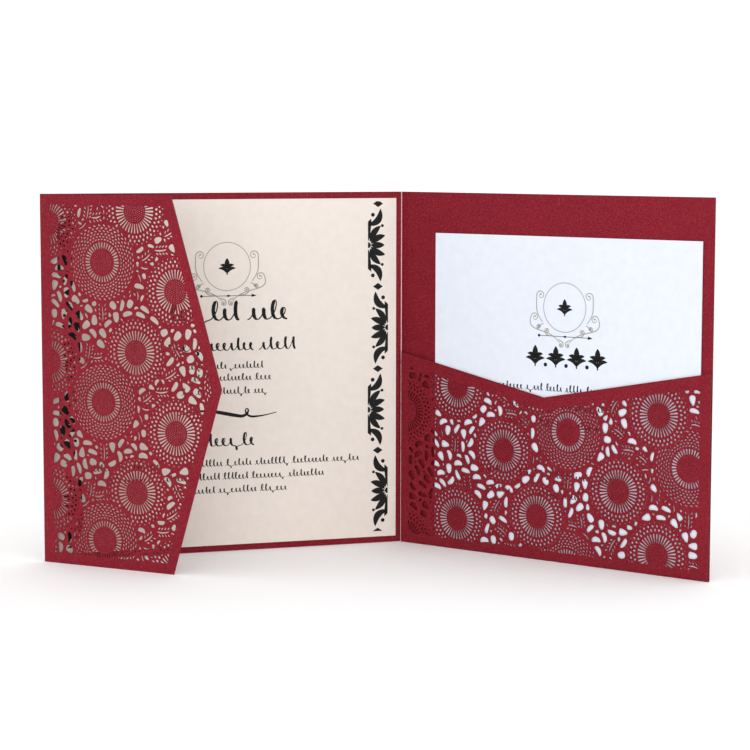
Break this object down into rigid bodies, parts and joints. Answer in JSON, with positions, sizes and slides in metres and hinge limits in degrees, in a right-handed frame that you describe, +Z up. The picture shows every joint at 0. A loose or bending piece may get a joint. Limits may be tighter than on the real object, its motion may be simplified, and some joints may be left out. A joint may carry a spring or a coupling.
{
  "type": "pocket invitation card",
  "caption": "Open pocket invitation in burgundy pearl card with a cut-work flap and pocket, a printed insert and a reply card, standing on its lower edges.",
  "frame": {"origin": "centre of the footprint, on the surface that the card stands on", "axes": "+Z up along the folds, -Y towards the reader of the open card, +X towards the pocket side"},
  "size_m": [0.266, 0.0904, 0.15],
  "materials": {
    "burgundy_card": "pearl card with a fine shimmer",
    "cream_card": "matt felt-marked card",
    "white_card": "matt smooth card"
  },
  "bodies": {
    "root": {"pocket_jacket": "burgundy_card", "invitation_insert": "cream_card", "reply_card": "white_card"}
  },
  "joints": []
}
